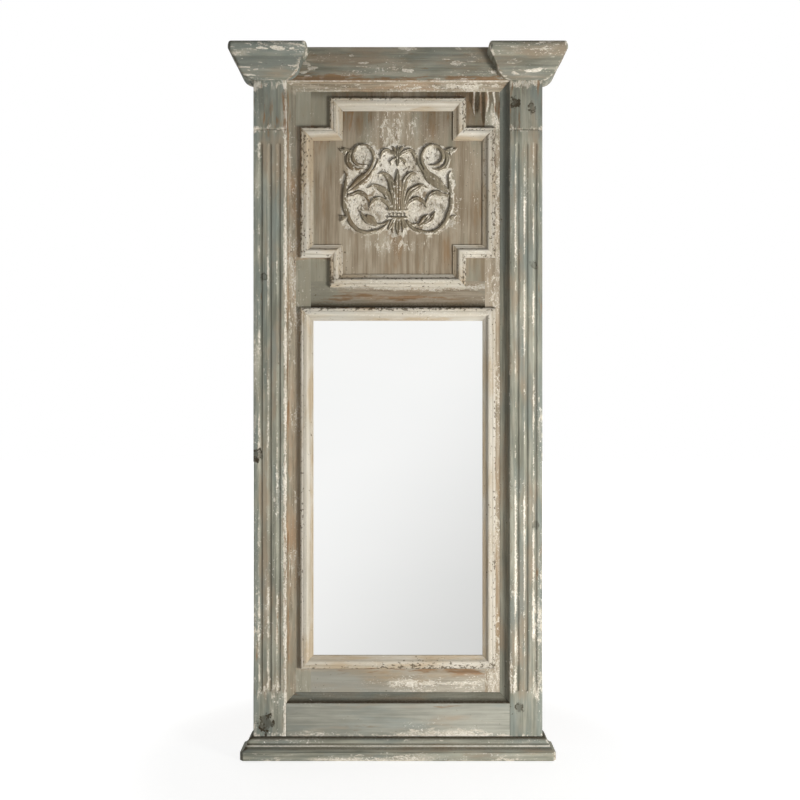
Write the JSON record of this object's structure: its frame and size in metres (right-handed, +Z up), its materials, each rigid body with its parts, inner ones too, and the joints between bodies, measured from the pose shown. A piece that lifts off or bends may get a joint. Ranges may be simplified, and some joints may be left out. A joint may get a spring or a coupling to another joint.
{
  "type": "wooden pier mirror",
  "caption": "Tall wooden wall mirror with fluted pilasters, moulded capitals and base, a carved panel in a cross-shaped moulding above the glass, and hanging rings behind.",
  "frame": {"origin": "middle of the underside, under the centre of the overall box", "axes": "+Z up, the glass faces -Y, +X to the viewer's right"},
  "size_m": [0.8, 0.11, 1.7],
  "materials": {
    "grey_paint": "chalky grey-green paint, worn to cream and bare wood",
    "field_paint": "rubbed brown-grey wash with visible grain",
    "cream_paint": "cream paint, speckled with wear",
    "carved_wood": "brown wash with cream paint in the hollows",
    "raw_wood": "bare softwood and hardboard",
    "mirror": "plain silvered glass",
    "plated_steel": "zinc plated"
  },
  "bodies": {
    "frame": {"back_rail_bottom": "raw_wood", "back_rail_top": "raw_wood", "backing_batten_bottom": "raw_wood", "backing_batten_left": "raw_wood", "backing_batten_right": "raw_wood", "backing_batten_top": "raw_wood", "base_front": "grey_paint", "base_return_left": "grey_paint", "base_return_right": "grey_paint", "batten_screws": "plated_steel", "bottom_rail": "grey_paint", "capital_left_front": "grey_paint", "capital_left_inner_return": "grey_paint", "capital_left_outer_return": "grey_paint", "capital_right_front": "grey_paint", "capital_right_inner_return": "grey_paint", "capital_right_outer_return": "grey_paint", "carving_crest": "carved_wood", "carving_palmette": "carved_wood", "carving_scroll_left": "carved_wood", "carving_scroll_right": "carved_wood", "cove_bottom": "cream_paint", "cove_left": "cream_paint", "cove_right": "cream_paint", "cove_top": "cream_paint", "field_bottom_rail": "field_paint", "field_middle_rail": "field_paint", "field_stile_left": "field_paint", "field_stile_right": "field_paint", "hanger_screws": "plated_steel", "hanger_strap_left": "plated_steel", "hanger_strap_right": "plated_steel", "mirror_backing": "raw_wood", "mirror_glass": "mirror", "mirror_mould_bottom": "cream_paint", "mirror_mould_left": "cream_paint", "mirror_mould_right": "cream_paint", "mirror_mould_top": "cream_paint", "panel_mould_bottom": "cream_paint", "panel_mould_left": "cream_paint", "panel_mould_lower_left_rise": "cream_paint", "panel_mould_lower_left_step": "cream_paint", "panel_mould_lower_right_rise": "cream_paint", "panel_mould_lower_right_step": "cream_paint", "panel_mould_right": "cream_paint", "panel_mould_top": "cream_paint", "panel_mould_upper_left_rise": "cream_paint", "panel_mould_upper_left_step": "cream_paint", "panel_mould_upper_right_rise": "cream_paint", "panel_mould_upper_right_step": "cream_paint", "pilaster_left": "grey_paint", "pilaster_right": "grey_paint", "side_board_left": "grey_paint", "side_board_right": "grey_paint", "top_rail": "grey_paint", "upper_panel": "field_paint"},
    "ring_left": {"hanger_ring_left": "plated_steel"},
    "ring_right": {"hanger_ring_right": "plated_steel"}
  },
  "joints": [
    {"name": "ring_left_swing", "type": "hinge", "parent": "frame", "child": "ring_left", "pos_m": [-0.2, 0.05125, 1.676], "axis": [1, 0, 0], "range_deg": [0, 180]},
    {"name": "ring_right_swing", "type": "hinge", "parent": "frame", "child": "ring_right", "pos_m": [0.2, 0.05125, 1.676], "axis": [1, 0, 0], "range_deg": [0, 180]}
  ]
}
